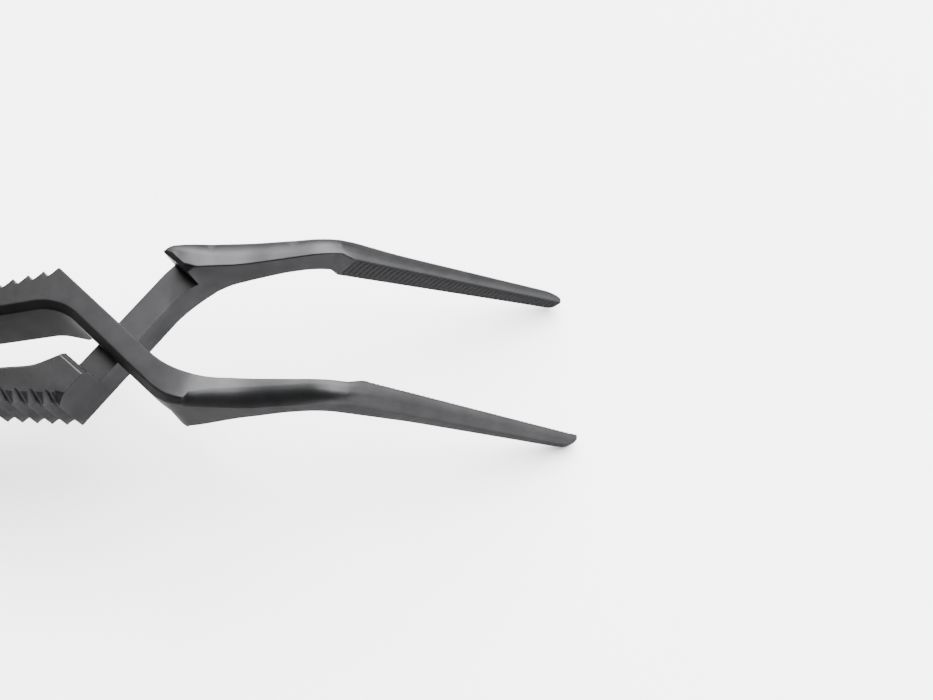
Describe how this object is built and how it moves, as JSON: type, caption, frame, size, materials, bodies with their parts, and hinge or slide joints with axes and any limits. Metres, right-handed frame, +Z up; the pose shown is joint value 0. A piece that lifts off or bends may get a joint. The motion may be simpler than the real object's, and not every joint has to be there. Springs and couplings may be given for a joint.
{
  "type": "cross-action angled tweezers",
  "caption": "Self-closing cross-action tweezers with half-lapped arms, grooved grips and fine-toothed jaws bent at an angle.",
  "frame": {"origin": "centre of the footprint, on the surface that the tail and both jaw tips stand on", "axes": "+X from the tail towards the jaws, Y the direction in which the jaws open, +Z up, away from the side to which the jaws are bent"},
  "size_m": [0.134, 0.016, 0.019],
  "materials": {
    "arm_steel": "satin black coating, bead-blasted flats",
    "spring_steel": "satin black coating",
    "tail_steel": "satin black coating",
    "rivet_steel": "smooth black coating"
  },
  "bodies": {
    "tail": {"tail_block": "tail_steel", "tail_rivets": "rivet_steel", "front_leaf_spring": "spring_steel", "rear_leaf_spring": "spring_steel"},
    "front_side": {"front_arm": "arm_steel", "front_arm_rivets": "rivet_steel"},
    "rear_side": {"rear_arm": "arm_steel", "rear_arm_rivets": "rivet_steel"}
  },
  "joints": [
    {"name": "front_flex", "type": "hinge", "parent": "tail", "child": "front_side", "pos_m": [-0.03907, 0.0016, 0.00655], "axis": [-0.1271, 0, 0.9919], "range_deg": [-1.4, 3.8], "stiffness_Nm_per_rad": 0.8, "springref_deg": 5.73, "deforming": ["front_leaf_spring"]},
    {"name": "rear_flex", "type": "hinge", "parent": "tail", "child": "rear_side", "pos_m": [-0.03907, -0.0016, 0.00655], "axis": [-0.1271, 0, 0.9919], "range_deg": [-3.8, 1.4], "stiffness_Nm_per_rad": 0.8, "springref_deg": -5.73, "deforming": ["rear_leaf_spring"]}
  ],
  "couplings": [
    {"joint": "rear_flex", "follows": "front_flex", "ratio": -1}
  ]
}
